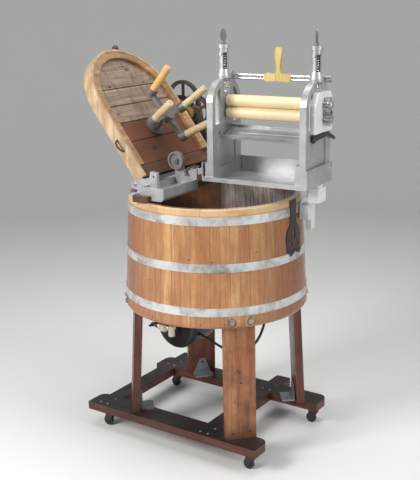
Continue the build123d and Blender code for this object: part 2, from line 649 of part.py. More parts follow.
def side_frame(w, block_w0, block_w1, block_top):
    """Cast plate: foot blocks, a slot for the bearings, a lug for the release bar."""
    with BuildPart() as frame:
        with BuildSketch(side_plane(w)):
            with BuildLine():
                front = Line((-FRAME_HALF, FRAME_LOW), (-FRAME_HALF, 1205))
                front_arc = ThreePointArc(front @ 1, (-72, 1252), (-22, FRAME_TOP))
                crown = Line(front_arc @ 1, (22, FRAME_TOP))
                back_arc = ThreePointArc(crown @ 1, (72, 1252), (FRAME_HALF, 1205))
                back = Line(back_arc @ 1, (FRAME_HALF, FRAME_LOW))
                Line(back @ 1, front @ 0)
            make_face()
            with Locations((0, (ROLL_Z1 + BARREL_LOW + 14) / 2)):
                Rectangle(2 * SLOT_HALF, BARREL_LOW + 14 - ROLL_Z1 + 38, mode=Mode.SUBTRACT)
            for side in (-1, 1):
                with BuildLine():
                    Polyline((side * 44, 1130), (side * 78, 1130), (side * 78, 1206), (side * 62, 1236),
                             (side * 44, 1246), close=True)
                make_face(mode=Mode.SUBTRACT)
            with Locations((ROD_N, ROD_Z)):
                Circle(DRUM_R + 5.5)
                Circle(DRUM_R + RUN_GAP, mode=Mode.SUBTRACT)
            with Locations((0, ROLL_Z0)):
                Circle(SHAFT_R + RUN_GAP, mode=Mode.SUBTRACT)
            with Locations((0, BOARD_Z), (LEVER_N, LEVER_Z)):
                Circle(PIVOT_R, mode=Mode.SUBTRACT)
        extrude(amount=FRAME_T)
        with BuildSketch(side_plane(w)):
            with Locations((0, 1040)):
                RectangleRounded(118, 110, 14)
        extrude(amount=4, mode=Mode.SUBTRACT)
        with BuildSketch(side_plane(w + FRAME_T - 4)):
            with Locations((0, 1040)):
                RectangleRounded(118, 110, 14)
        extrude(amount=4, mode=Mode.SUBTRACT)
        with BuildSketch(side_plane(block_w0)):
            block_middle = (FRAME_LOW + block_top) / 2
            with Locations((-FRAME_HALF + 15, block_middle), (FRAME_HALF - 15, block_middle)):
                Rectangle(30, block_top - FRAME_LOW)
        extrude(amount=block_w1 - block_w0)
    return frame


pieces["side_frame_left"] = side_frame(FRAME_W[0], 19, 50, 1005)
pieces["side_frame_right"] = side_frame(FRAME_W[1], 345, 383, 1020)

screw_w = [w + FRAME_T / 2 for w in FRAME_W]
SLOT_WAY = -43.0                # direction of the barrels' slots in plan
with BuildPart(wringer_plan) as pressure_barrels:
    for w in screw_w:
        with Locations((w, 0, (FRAME_TOP + BARREL_TOP) / 2)):
            Cylinder(BARREL_R, BARREL_TOP - FRAME_TOP)
            Cylinder(BARREL_BORE, BARREL_TOP - FRAME_TOP, mode=Mode.SUBTRACT)
        with Locations(Location((w, 0, (FRAME_TOP + BARREL_TOP) / 2), (0, 0, SLOT_WAY))):
            with Locations((BARREL_R, 0, -4)):
                Box(16, 14, BARREL_TOP - FRAME_TOP - 18, mode=Mode.SUBTRACT)
        with Locations((w, 0, BARREL_TOP + 6)):
            Cylinder(21, 12)
            Cylinder(SCREW_R + RUN_GAP, 12, mode=Mode.SUBTRACT)
        with Locations((w, 0, FRAME_TOP + 4)):
            Cylinder(23, 8)
            Cylinder(BARREL_BORE, 8, mode=Mode.SUBTRACT)
        with Locations((w, 0, FRAME_TOP + 8 + 11)):
            Cone(22.5, BARREL_R, 22)
            Cylinder(BARREL_BORE, 22, mode=Mode.SUBTRACT)
        with Locations(Location((w, 0, 1355), (90, 0, 0))):
            Cylinder(4, 2 * BARREL_R + 12)
        with Locations((w, 0, 1345)):
            Cylinder(BARREL_BORE, 56, mode=Mode.SUBTRACT)
pieces["pressure_barrels"] = pressure_barrels

SPRING_LOW, SPRING_TOP, SPRING_R, WIRE_R = 1232.0, 1356.0, 10.5, 1.9
SPRING_TURNS = 15
with BuildPart(wringer_plan) as pressure_springs:
    for w in screw_w:
        for k in range(SPRING_TURNS):
            with Locations((w, 0, SPRING_LOW + WIRE_R + 0.3 + k * (SPRING_TOP - SPRING_LOW) / SPRING_TURNS)):
                Torus(SPRING_R, WIRE_R)
pieces["pressure_springs"] = pressure_springs


def pressure_screw(w, head_way):
    """Thumb screw: a flat oval head, the stem through the cap and a pad on top of the spring."""
    with BuildPart(wringer_plan) as screw:
        with Locations((w, 0, (SPRING_TOP + 1.5 + SCREW_HEAD) / 2)):
            Cylinder(SCREW_R, SCREW_HEAD - SPRING_TOP - 1.5)
        with Locations((w, 0, SPRING_TOP + 4)):
            Cylinder(BARREL_BORE - 0.5, 5)
        with Locations((w, 0, BARREL_TOP + 17)):
            Cylinder(8, 8)
    head = Plane(origin=wringer_plan.from_local_coords((w, 0, SCREW_HEAD + 16)),
                 x_dir=wringer_plan.x_dir.rotate(Axis.Z, head_way),
                 z_dir=wringer_plan.x_dir.rotate(Axis.Z, head_way - 90))
    with BuildPart() as thumb:
        add(screw.part)
        with BuildSketch(head.offset(-3)):
            Ellipse(10.5, 21)
        extrude(amount=6)
    return thumb


pieces["pressure_screw_left"] = pressure_screw(screw_w[0], 29)
pieces["pressure_screw_right"] = pressure_screw(screw_w[1], -58)

BEARING_TOP = SPRING_LOW - 2.0
with BuildPart() as top_bearings:
    for w in FRAME_W:
        with BuildSketch(side_plane(w)):
            with Locations((0, (ROLL_Z1 - 18 + BEARING_TOP) / 2)):
                Rectangle(2 * SLOT_HALF - 0.2, BEARING_TOP - ROLL_Z1 + 18)
            with Locations((0, ROLL_Z1)):
                Circle(SHAFT_R + RUN_GAP, mode=Mode.SUBTRACT)
        extrude(amount=FRAME_T)
        for end in (-3, FRAME_T):
            with BuildSketch(side_plane(w + end)):
                with Locations((0, ROLL_Z1)):
                    Circle(15)
                    Circle(SHAFT_R + RUN_GAP, mode=Mode.SUBTRACT)
            extrude(amount=3)
pieces["top_bearings"] = top_bearings

GEAR_W0, GEAR_W1 = 405.0, 424.0
DEEP_TEETH = ((-1.5, 0.28), (1.25, 0.07))
SHAFT_W0 = 20.0


def gear_face(teeth, module, phase, shares=((-1.15, 0.31), (0.9, 0.11))):
    """Spur gear outline with straight-flanked teeth and ample backlash, about the sketch's origin.

    shares gives root and tip as (height in modules, half width as a share of the tooth pitch).
    """
    pitch_r = teeth * module / 2
    (root_h, root_share), (tip_h, tip_share) = shares
    tip_r, root_r = pitch_r + tip_h * module, pitch_r + root_h * module
    step = 360 / teeth
    points = []
    for k in range(teeth):
        middle = phase + k * step
        for radius, share in ((root_r, -root_share), (tip_r, -tip_share), (tip_r, tip_share),
                              (root_r, root_share)):
            a = math.radians(middle + share * step)
            points.append((radius * math.cos(a), radius * math.sin(a)))
    with BuildSketch() as face:
        with BuildLine():
            Polyline(*points, close=True)
        make_face()
    return face.sketch


def roll_shaft(z, phase):
    with BuildPart() as shaft:
        with BuildSketch(side_plane(SHAFT_W0)):
            with Locations((0, z)):
                Circle(SHAFT_R)
        extrude(amount=GEAR_W1 + 6 - SHAFT_W0)
        with BuildSketch(side_plane(GEAR_W0)):
            with Locations((0, z)):
                add(gear_face(8, 5.0, phase, DEEP_TEETH))
        extrude(amount=GEAR_W1 - GEAR_W0)
    return shaft


def roll_cover(z, radius):
    with BuildPart() as cover:
        with BuildSketch(side_plane(ROLL_W0)):
            with Locations((0, z)):
                Circle(radius)
        extrude(amount=ROLL_W1 - ROLL_W0)
        fillet(cover.edges().filter_by(GeomType.CIRCLE), 1.5)
        with BuildSketch(side_plane(ROLL_W0)):
            with Locations((0, z)):
                Circle(SHAFT_R)
        extrude(amount=ROLL_W1 - ROLL_W0, mode=Mode.SUBTRACT)
    return cover


pieces["lower_roll_shaft"] = roll_shaft(ROLL_Z0, 0)
pieces["upper_roll_shaft"] = roll_shaft(ROLL_Z1, 22.5)
pieces["lower_roll"] = roll_cover(ROLL_Z0, ROLL_R0)
pieces["upper_roll"] = roll_cover(ROLL_Z1, ROLL_R1)

HOUSING_W0, HOUSING_W1 = FRAME_W[1] + FRAME_T, 403.0
with BuildPart() as gear_guard:
    with BuildSketch(side_plane(HOUSING_W0)):
        with BuildLine():
            Polyline((-70, 1118), (-70, 1206), (-44, 1244), (44, 1244), (62, 1222), (62, 1118), close=True)
        make_face()
    extrude(amount=HOUSING_W1 - HOUSING_W0)
    with BuildSketch(side_plane(HOUSING_W0)):
        with Locations((0, 1200)):
            Rectangle(36, 120)
    extrude(amount=4, mode=Mode.SUBTRACT)
    with BuildSketch(side_plane(HOUSING_W0)):
        with Locations((0, 1188)):
            Rectangle(2 * SHAFT_R + 2, 70)
    extrude(amount=HOUSING_W1 - HOUSING_W0, mode=Mode.SUBTRACT)
    with BuildSketch(side_plane(HOUSING_W0)):
        with Locations((-71, 1180)):
            Rectangle(6, 5)
    extrude(amount=HOUSING_W1 - HOUSING_W0)
pieces["gear_guard"] = gear_guard

with BuildPart() as release_bar:
    for dz in (-ROD_HALF, ROD_HALF):
        with BuildSketch(side_plane(FRAME_W[0])):
            with Locations((ROD_N, ROD_Z + dz)):
                Circle(ROD_R)
        extrude(amount=FRAME_W[1] + 46 - FRAME_W[0])
    for w in FRAME_W:
        with BuildSketch(side_plane(w - 2)):
            with Locations((ROD_N, ROD_Z)):
                Circle(DRUM_R)
        extrude(amount=FRAME_T + 4)
pieces["release_bar"] = release_bar

HANDLE_W = 219.0
with BuildPart(wringer_plan) as release_handle:
    with Locations((HANDLE_W, ROD_N, ROD_Z)):
        Box(72, 17, 24)
    with Locations([Location((w, ROD_N, ROD_Z), (90, 0, 0)) for w in (HANDLE_W - 36, HANDLE_W + 36)]):
        Cylinder(14, 17)
    with BuildSketch(Plane(origin=wringer_plan.from_local_coords((HANDLE_W + 3, ROD_N + 7, ROD_Z + 10)),
                           x_dir=roll_way, z_dir=-across_way)):
        with BuildLine():
            low = Line((-16, 0), (16, 0))
            right = Spline(low @ 1, (7.5, 18), (12, 70), (0, 88), tangents=((-1, 0.6), (-1, 0)))
            Spline(right @ 1, (-12, 70), (-7.5, 18), low @ 0, tangents=((-1, 0), (-1, -0.6)))
        make_face()
    extrude(amount=14)
    for dz in (-ROD_HALF, ROD_HALF):
        with BuildSketch(side_plane(HANDLE_W - 80)):
            with Locations((ROD_N, ROD_Z + dz)):
                Circle(ROD_R)
        extrude(amount=160, mode=Mode.SUBTRACT)
pieces["release_handle"] = release_handle

with BuildPart() as drip_board:
    board = side_plane(FRAME_W[0] + FRAME_T + 2)
    with BuildSketch(Plane(origin=board.from_local_coords((0, BOARD_Z, 0)), x_dir=board.x_dir.rotate(
            Axis((0, 0, 0), roll_way), BOARD_TILT), z_dir=board.z_dir)):
        with Locations((0, 0)):
            Rectangle(82, 5)
        with Locations((39, 4)):
            Rectangle(4, 12)
        with Locations((-39, 4)):
            Rectangle(4, 12)
        with Locations((0, -3)):
            Circle(8)
    extrude(amount=FRAME_W[1] - FRAME_W[0] - FRAME_T - 4)
    board_edge = side_plane(FRAME_W[0] + 8).from_local_coords((0, BOARD_Z, 0))
    with BuildSketch(Plane(origin=board_edge, x_dir=across_way, z_dir=roll_way)):
        Circle(PIVOT_R - RUN_GAP)
    extrude(amount=FRAME_W[1] - FRAME_W[0] + 6)
pieces["drip_board"] = drip_board

with BuildPart() as shift_lever:
    with BuildSketch(side_plane(FRAME_W[1] + FRAME_T + 0.3)):
        with Locations((LEVER_N, LEVER_Z)):
            Circle(13)
    extrude(amount=9)
    with BuildSketch(side_plane(FRAME_W[1] + 4)):
        with Locations((LEVER_N, LEVER_Z)):
            Circle(PIVOT_R - RUN_GAP)
    extrude(amount=24)
    with BuildSketch(side_plane(FRAME_W[1] + FRAME_T + 2)):
        with BuildLine():
            Polyline((LEVER_N, LEVER_Z + 8), (60, LEVER_Z + 10), (116, LEVER_Z - 14), (116, LEVER_Z - 24),
                     (58, LEVER_Z - 2), (LEVER_N, LEVER_Z - 8), close=True)
        make_face()
    extrude(amount=7)
pieces["shift_lever"] = shift_lever


# ---------------------------------------------------------------- support of the wringer at the rim
with BuildPart(wringer_plan) as wringer_post:
    with Locations((365, 32, 906)):
        Box(46, 60, 48)
    fillet(wringer_post.edges().filter_by(Axis.Z), 8)
    with Locations((334, 55, 837)):
        Box(20, 30, 112)
    with Locations((318, 45, 840)):
        Box(46, 34, 50)
    with Locations((338, 45, 887)):
        Box(30, 40, 14)
    with Locations((0, 0, 830)):
        Cylinder(POST_REACH, 130, mode=Mode.SUBTRACT)
    with Locations((SWIVEL_W, SWIVEL_N, 936)):
        Cylinder(POST_R + 6, 13)
    with Locations((SWIVEL_W, SWIVEL_N, 915)):
        Cylinder(POST_R, 60, mode=Mode.SUBTRACT)
pieces["wringer_post"] = wringer_post

STRAP_T = 3.0
hoop_r = tub_radius(HOOP_LOW[1])
with BuildPart() as tub_strap:
    with BuildSketch(Plane.YZ.offset(240)):
        with BuildLine():
            Polyline((-14, 892), (-14, 812), (-34, 792), (-42, 760), (-38, 722), (-22, 704), (-6, 712),
                     (6, 724),
                     (18, 712), (36, 704), (52, 722), (56, 760), (48, 792), (26, 812), (26, 892), close=True)
        make_face()
        with Locations((-18, 742), (30, 742)):
            Circle(7, mode=Mode.SUBTRACT)
        with Locations((6, 778)):
            SlotOverall(34, 12, rotation=90, mode=Mode.SUBTRACT)
    extrude(amount=100)
    with BuildSketch(Plane.XZ):
        with BuildLine():
            Polyline((hoop_r + 2.5, 694), (hoop_r + 2.5 + STRAP_T, 694), (hoop_r + 2.5 + STRAP_T, 717),
                     (tub_radius(722) + STRAP_T, 722), (tub_radius(837) + STRAP_T, 837),
                     (tub_radius(837) + 0.1, 837),
                     (tub_radius(718) + 0.1, 718), (hoop_r + 2.5, 716), close=True)
        make_face()
        with BuildLine():
            Polyline((tub_radius(837) + HOOP_T + 0.1, 836), (tub_radius(837) + HOOP_T + STRAP_T, 836),
                     (tub_radius(891) + HOOP_T + STRAP_T, 891), (tub_radius(891) + HOOP_T + 0.1, 891),
                     close=True)
        make_face()
    revolve(axis=Axis.Z, mode=Mode.INTERSECT)
pieces["tub_strap"] = tub_strap


# ---------------------------------------------------------------- drive stand, wheels and motor
ring_way = math.atan2(-38.5, 73.0)
CENTRES = MODULE * (PINION_T + RING_T) / 2
RING_X, RING_Z = FLY_X + CENTRES * math.cos(ring_way), FLY_Z + CENTRES * math.sin(ring_way)
STAND_Y0, STAND_Y1 = 240.0, 256.0
DRIVE_SHAFT_R = 8.0
with BuildPart() as drive_stand:
    with BuildSketch(Plane.XZ.offset(-STAND_Y1)):
        with Locations((BEAM_X0 + 30, BEAM_TOP + 12)):
            Rectangle(56, 24)
        with Locations((RING_X, RING_Z)):
            Circle(24)
        make_hull()
    extrude(amount=STAND_Y1 - STAND_Y0)
    with BuildSketch(Plane.XZ.offset(-STAND_Y1)):
        with Locations((RING_X, RING_Z)):
            Circle(20)
        with Locations((FLY_X, FLY_Z)):
            Circle(18)
        make_hull()
    extrude(amount=STAND_Y1 - STAND_Y0)
    with BuildSketch(Plane.XZ.offset(-STAND_Y1)):
        with Locations((RING_X, RING_Z), (FLY_X, FLY_Z)):
            Circle(DRIVE_SHAFT_R)
    extrude(amount=STAND_Y1 - STAND_Y0, mode=Mode.SUBTRACT)
pieces["drive_stand"] = drive_stand


PITCH_TURN = math.degrees(ring_way)
with BuildPart() as flywheel:
    shaft_y0, shaft_y1 = STAND_Y0 - 8, FLY_Y + 18
    with Locations(along_y(FLY_X, shaft_y0, shaft_y1, FLY_Z)):
        Cylinder(DRIVE_SHAFT_R - RUN_GAP, shaft_y1 - shaft_y0)
    with Locations(along_y(FLY_X, FLY_Y - 8, FLY_Y + 8, FLY_Z)):
        Cylinder(FLY_R, 16)
        Cylinder(FLY_R - 9, 16, mode=Mode.SUBTRACT)
    with BuildSketch(Plane.XZ.offset(-FLY_Y - 4)):
        with Locations((FLY_X, FLY_Z)):
            with PolarLocations(0, 5, start_angle=18):
                with Locations(((FLY_R - 6) / 2, 0)):
                    Rectangle(FLY_R - 6, 9)
            Circle(17)
    extrude(amount=8)
    with Locations(along_y(FLY_X, FLY_Y - 14, FLY_Y + 12, FLY_Z)):
        Cylinder(14, 26)
    with BuildSketch(Plane.XZ.offset(-GEAR_Y - 7)):
        with Locations((FLY_X, FLY_Z)):
            add(gear_face(PINION_T, MODULE, PITCH_TURN))
    extrude(amount=14)
pieces["flywheel"] = flywheel

with BuildPart() as ring_gear:
    with BuildSketch(Plane.XZ.offset(-GEAR_Y - 6)):
        with Locations((RING_X, RING_Z)):
            add(gear_face(RING_T, MODULE, PITCH_TURN + 180 + 180 / RING_T))
            Circle(50, mode=Mode.SUBTRACT)
            Circle(24)
            with PolarLocations(0, 4, start_angle=30):
                with Locations((36, 0)):
                    Rectangle(34, 10)
    extrude(amount=12)
    with Locations(along_y(RING_X, STAND_Y0 - 8, GEAR_Y + 12, RING_Z)):
        Cylinder(DRIVE_SHAFT_R - RUN_GAP, GEAR_Y + 20 - STAND_Y0)
    with Locations(along_y(RING_X, STAND_Y0 - 16, STAND_Y0 - 4, RING_Z)):
        Cylinder(24, 12)
pieces["ring_gear"] = ring_gear

WHEEL_Y = TROUGH_Y1 - TROUGH_WALL - 4
with BuildPart() as trough_wheel:
    with Locations(along_y(TROUGH_AXIS_X, WHEEL_Y - 14, WHEEL_Y, TROUGH_AXIS_Z)):
        Cylinder(31, 14)
        Cylinder(24, 14, mode=Mode.SUBTRACT)
    with Locations(along_y(TROUGH_AXIS_X, WHEEL_Y - 12, WHEEL_Y - 2, TROUGH_AXIS_Z)):
        Cylinder(26, 4)
        Cylinder(11, 18)
    with Locations(along_y(TROUGH_AXIS_X, TROUGH_Y1 - TROUGH_WALL - 24, TROUGH_Y1 + 8, TROUGH_AXIS_Z)):
        Cylinder(6 - RUN_GAP, TROUGH_WALL + 32)
pieces["trough_wheel"] = trough_wheel

with BuildPart() as motor:
    with Locations(along_y(MOTOR_X, MOTOR_Y0, MOTOR_Y1, MOTOR_Z)):
        Cylinder(MOTOR_R, MOTOR_Y1 - MOTOR_Y0)
    fillet(motor.edges().filter_by(GeomType.CIRCLE), 16)
    with Locations(along_y(MOTOR_X, MOTOR_Y1 - 4, MOTOR_Y1 + 22, MOTOR_Z)):
        Cylinder(24, 26)
    with Locations(along_y(MOTOR_X, MOTOR_Y0 - 16, MOTOR_Y0 + 4, MOTOR_Z)):
        Cylinder(26, 20)
    with Locations((MOTOR_X, (MOTOR_Y0 + MOTOR_Y1) / 2, (MOTOR_Z + FLOOR_Z - BATTEN_T - 4) / 2 + 30)):
        Box(90, 70, FLOOR_Z - BATTEN_T - MOTOR_Z - 64)
    with Locations((MOTOR_X, 0, FLOOR_Z - BATTEN_T - 6)):
        Box(90, 2 * BATTEN_Y + 10, 12)
    with Locations(along_y(MOTOR_X, MOTOR_Y1 - 10, MOTOR_Y1 + 22, MOTOR_Z)):
        Cylinder(DRIVE_SHAFT_R, 34, mode=Mode.SUBTRACT)

with BuildPart() as motor_pulley:
    with Locations(along_y(MOTOR_X, MOTOR_Y1 - 8, FLY_Y + 14, MOTOR_Z)):
        Cylinder(DRIVE_SHAFT_R - RUN_GAP, FLY_Y + 22 - MOTOR_Y1)
    with Locations(along_y(MOTOR_X, FLY_Y - 9, FLY_Y + 9, MOTOR_Z)):
        Cylinder(MOTOR_PULLEY_R, 18)
pieces["motor_pulley"] = motor_pulley

BELT_T, BELT_HALF, BELT_GAP = 4.0, 6.0, 0.3
with BuildPart() as belt:
    for grow, way in ((BELT_GAP + BELT_T, Mode.ADD), (BELT_GAP, Mode.SUBTRACT)):
        with BuildSketch(Plane.XZ.offset(-FLY_Y - BELT_HALF)):
            with Locations((FLY_X, FLY_Z)):
                Circle(FLY_R + grow)
            with Locations((MOTOR_X, MOTOR_Z)):
                Circle(MOTOR_PULLEY_R + grow)
            make_hull()
        extrude(amount=2 * BELT_HALF, mode=way)
pieces["belt"] = belt


# ---------------------------------------------------------------- drain faucet and cable
FAUCET_Z, FAUCET_Y = 478.0, -290.0
with BuildPart() as faucet:
    with Locations((SPOUT_X, SPOUT_Y, (FLOOR_Z + FLOOR_T + FAUCET_Z - 14) / 2)):
        Cylinder(13.9, FLOOR_Z + FLOOR_T - FAUCET_Z + 14)
    with Locations((SPOUT_X, SPOUT_Y, FLOOR_Z - 5)):
        Cylinder(20, 10)
    with Locations(along_y(SPOUT_X, FAUCET_Y, SPOUT_Y, FAUCET_Z)):
        Cylinder(11.5, SPOUT_Y - FAUCET_Y)
    with Locations((SPOUT_X - 10, FAUCET_Y, FAUCET_Z)):
        Cylinder(16, 20)
    with Locations((SPOUT_X - 10, FAUCET_Y, FAUCET_Z + 13)):
        Cone(16, 9, 6)
    with Locations((SPOUT_X - 10, FAUCET_Y, FAUCET_Z - 13)):
        Cone(9, 16, 6)
    with Locations(Location((SPOUT_X - 24, FAUCET_Y, FAUCET_Z), (0, 90, 0))):
        Cylinder(10.5, 14)
    with Locations(Location((SPOUT_X + 5, FAUCET_Y, FAUCET_Z), (0, 90, 0))):
        Cylinder(9, 20)
    with Locations((SPOUT_X + 20, FAUCET_Y, FAUCET_Z - 8)):
        Cylinder(11, 36)
    with Locations((SPOUT_X + 20, FAUCET_Y, FAUCET_Z + 12)):
        Cone(11, 6, 4)
    with Locations((SPOUT_X + 20, FAUCET_Y, FAUCET_Z - 13)):
        Cylinder(SPOUT_BORE, 26, mode=Mode.SUBTRACT)
    with Locations(Location((SPOUT_X - 20, FAUCET_Y, FAUCET_Z), (0, 90, 0))):
        Cylinder(PIVOT_R, 30, mode=Mode.SUBTRACT)
pieces["faucet"] = faucet

with BuildPart() as faucet_plug:
    with Locations(Location((SPOUT_X - 30, FAUCET_Y, FAUCET_Z), (0, 90, 0))):
        Cylinder(PIVOT_R - RUN_GAP, 48)
    with Locations(Location((SPOUT_X - 37, FAUCET_Y, FAUCET_Z), (0, 90, 0))):
        Cylinder(9, 10)
    with Locations(Location((SPOUT_X - 57, FAUCET_Y, FAUCET_Z), (0, 90, 0))):
        Cylinder(7, 8)
    with Locations((SPOUT_X - 57, FAUCET_Y, FAUCET_Z)):
        Box(8, 36, 6)
pieces["faucet_plug"] = faucet_plug

with BuildPart() as junction_box:
    with Locations((196, 30, FLOOR_Z - 21)):
        Box(46, 60, 42)
    fillet(junction_box.edges().filter_by(Axis.Z), 6)
pieces["junction_box"] = junction_box

CABLE_R = 4.5
CABLE_ROUTE = [(-67, -14, 352), (-26, -17, 343), (16, -23, 330), (60, -30, 322), (104, -30, 324),
               (142, -22, 338),
               (170, -6, 366), (184, 10, 408), (191, 21, 455), (194, 28, FLOOR_Z - 42)]


def bend_radii(points):
    radii = []
    for before, corner, after in zip(points, points[1:], points[2:]):
        first, second = Vector(*corner) - Vector(*before), Vector(*after) - Vector(*corner)
        half_turn = math.radians(first.get_angle(second)) / 2
        radii.append(0.45 * min(first.length, second.length) / math.tan(half_turn))
    return radii


cable_radii = bend_radii(CABLE_ROUTE)
print("cable bends", [round(r) for r in cable_radii])
with BuildPart() as cable:
    with BuildLine() as cable_path:
        FilletPolyline(*CABLE_ROUTE, radius=cable_radii)
    with BuildSketch(Plane(origin=cable_path.line @ 0, z_dir=cable_path.line % 0)):
        Circle(CABLE_R)
    sweep()
pieces["cable"] = cable
print("cable length", round(cable_path.wire().length), "volume", round(cable.part.volume))

with BuildPart() as gland:
    with BuildSketch(Plane(origin=cable_path.line @ 0, z_dir=cable_path.line % 0)):
        Circle(8)
    extrude(amount=-16)
with BuildPart() as motor_shell:
    add(motor.part)
    add(gland.part)
pieces["motor"] = motor_shell


# ---------------------------------------------------------------- files
os.makedirs("parts", exist_ok=True)
for name, piece in pieces.items():
    piece.part.label = name
    export_step(piece.part, f"parts/{name}.step")
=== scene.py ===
import bpy
import bmesh
import math
from mathutils import Vector, Matrix


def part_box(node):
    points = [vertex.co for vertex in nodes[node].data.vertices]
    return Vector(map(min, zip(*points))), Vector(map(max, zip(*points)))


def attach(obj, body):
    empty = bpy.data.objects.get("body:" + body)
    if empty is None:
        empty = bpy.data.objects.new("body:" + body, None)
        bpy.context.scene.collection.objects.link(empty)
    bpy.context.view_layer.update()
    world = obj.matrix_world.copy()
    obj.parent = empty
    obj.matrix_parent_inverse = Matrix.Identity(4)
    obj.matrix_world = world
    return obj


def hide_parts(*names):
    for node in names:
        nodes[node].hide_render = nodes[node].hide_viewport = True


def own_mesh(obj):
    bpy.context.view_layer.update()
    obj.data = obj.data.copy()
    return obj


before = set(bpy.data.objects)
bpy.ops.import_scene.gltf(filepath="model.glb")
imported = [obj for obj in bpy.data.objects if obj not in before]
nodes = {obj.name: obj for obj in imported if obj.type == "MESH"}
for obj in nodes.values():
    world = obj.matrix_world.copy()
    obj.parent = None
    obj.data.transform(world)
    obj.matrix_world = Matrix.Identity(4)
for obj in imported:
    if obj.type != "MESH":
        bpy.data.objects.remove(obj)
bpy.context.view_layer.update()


# ------------------------------------------------------------ materials
class Shader:
    """Short names for building one procedural material."""

    def __init__(self, name):
        self.material = bpy.data.materials.new(name)
        self.material.use_nodes = True
        self.tree = self.material.node_tree
        self.bsdf = self.tree.nodes["Principled BSDF"]
        self.coords = self.tree.nodes.new("ShaderNodeTexCoord").outputs["Object"]

    def link(self, a, b):
        self.tree.links.new(a, b)

    def stretched(self, scale, turn=(0, 0, 0)):
        node = self.tree.nodes.new("ShaderNodeMapping")
        node.inputs["Scale"].default_value = scale
        node.inputs["Rotation"].default_value = [math.radians(v) for v in turn]
        self.link(self.coords, node.inputs["Vector"])
        return node.outputs["Vector"]

    def noise(self, vector, scale, detail=5.0, rough=0.55, warp=0.0):
        node = self.tree.nodes.new("ShaderNodeTexNoise")
        node.inputs["Scale"].default_value = scale
        node.inputs["Detail"].default_value = detail
        node.inputs["Roughness"].default_value = rough
        node.inputs["Distortion"].default_value = warp
        self.link(vector, node.inputs["Vector"])
        return node.outputs["Fac"]

    def cells(self, vector, scale):
        node = self.tree.nodes.new("ShaderNodeTexVoronoi")
        node.inputs["Scale"].default_value = scale
        self.link(vector, node.inputs["Vector"])
        return node.outputs["Distance"]

    def island(self):
        return self.tree.nodes.new("ShaderNodeNewGeometry").outputs["Random Per Island"]

    def axis(self, name):
        node = self.tree.nodes.new("ShaderNodeSeparateXYZ")
        self.link(self.coords, node.inputs[0])
        return node.outputs[name]

    def along(self, way, start=(0, 0, 0)):
        """Distance along a direction from a start point."""
        shift = self.tree.nodes.new("ShaderNodeVectorMath")
        shift.operation = "SUBTRACT"
        self.link(self.coords, shift.inputs[0])
        shift.inputs[1].default_value = start
        node = self.tree.nodes.new("ShaderNodeVectorMath")
        node.operation = "DOT_PRODUCT"
        self.link(shift.outputs["Vector"], node.inputs[0])
        node.inputs[1].default_value = way
        return node.outputs["Value"]

    def span(self, value, low, high, to_low=0.0, to_high=1.0):
        node = self.tree.nodes.new("ShaderNodeMapRange")
        node.inputs["From Min"].default_value = low
        node.inputs["From Max"].default_value = high
        node.inputs["To Min"].default_value = to_low
        node.inputs["To Max"].default_value = to_high
        self.link(value, node.inputs["Value"])
        return node.outputs["Result"]

    def maths(self, kind, a, b):
        node = self.tree.nodes.new("ShaderNodeMath")
        node.operation = kind
        for socket, value in zip(node.inputs, (a, b)):
            if isinstance(value, (int, float)):
                socket.default_value = value
            else:
                self.link(value, socket)
        return node.outputs[0]

    def length(self, a, b):
        """Square root of the sum of two squares."""
        squares = self.maths("ADD", self.maths("MULTIPLY", a, a), self.maths("MULTIPLY", b, b))
        return self.maths("SQRT", squares, 0)

    def mix(self, factor, a, b):
        node = self.tree.nodes.new("ShaderNodeMix")
        node.data_type = "RGBA"
        sockets = {"Factor": node.inputs[0], "A": node.inputs[6], "B": node.inputs[7]}
        for key, value in (("Factor", factor), ("A", a), ("B", b)):
            if isinstance(value, (int, float)):
                sockets[key].default_value = value
            elif isinstance(value, tuple):
                sockets[key].default_value = (*value, 1)
            else:
                self.link(value, sockets[key])
        return node.outputs[2]

    def finish(self, colour, rough, bump=None, strength=0.2, depth=0.002, metallic=0.0):
        self.link(colour, self.bsdf.inputs["Base Color"])
        if isinstance(rough, (int, float)):
            self.bsdf.inputs["Roughness"].default_value = rough
        else:
            self.link(rough, self.bsdf.inputs["Roughness"])
        self.bsdf.inputs["Metallic"].default_value = metallic
        if bump is not None:
            node = self.tree.nodes.new("ShaderNodeBump")
            node.inputs["Strength"].default_value = strength
            node.inputs["Distance"].default_value = depth
            self.link(bump, node.inputs["Height"])
            self.link(node.outputs["Normal"], self.bsdf.inputs["Normal"])
        return self.material


GRAIN = {"X": (1.2, 26, 26), "Y": (26, 1.2, 26), "Z": (26, 26, 1.2)}


def wood(name, dark, light, along, variety=0.25, rough=0.55, stain=None, turn=(0, 0, 0), bump=0.35,
         extra=None, gloss=0.0):
    """Board wood: streaks along the grain, a shade of its own for each board, stains and uneven gloss."""
    s = Shader(name)
    run = s.stretched(GRAIN[along], turn)
    wide = s.stretched([v * 0.35 for v in GRAIN[along]], turn)
    fine = s.noise(run, 5.0, 8.0, 0.65)
    broad = s.noise(wide, 2.2, 4.0, 0.5, 1.2)
    colour = s.mix(s.span(broad, 0.3, 0.7), dark, light)
    colour = s.mix(s.span(fine, 0.35, 0.62, 0.55, 0.0), colour, tuple(v * 0.55 for v in dark))
    shade = s.island()
    colour = s.mix(s.span(shade, 0, 1, variety, 0.0), colour, tuple(v * 0.55 for v in dark))
    if extra:
        colour = extra(s, colour, fine)
    grime = s.noise(s.coords, 7.0, 6.0, 0.7)
    if stain:
        colour = s.mix(s.span(grime, 0.48, 0.72, 0.0, 0.75), colour, stain)
    s.bsdf.inputs["Coat Weight"].default_value = gloss
    s.bsdf.inputs["Coat Roughness"].default_value = 0.22
    return s.finish(colour, s.span(grime, 0.3, 0.7, rough - 0.12, rough + 0.15), fine, bump, 0.0015)


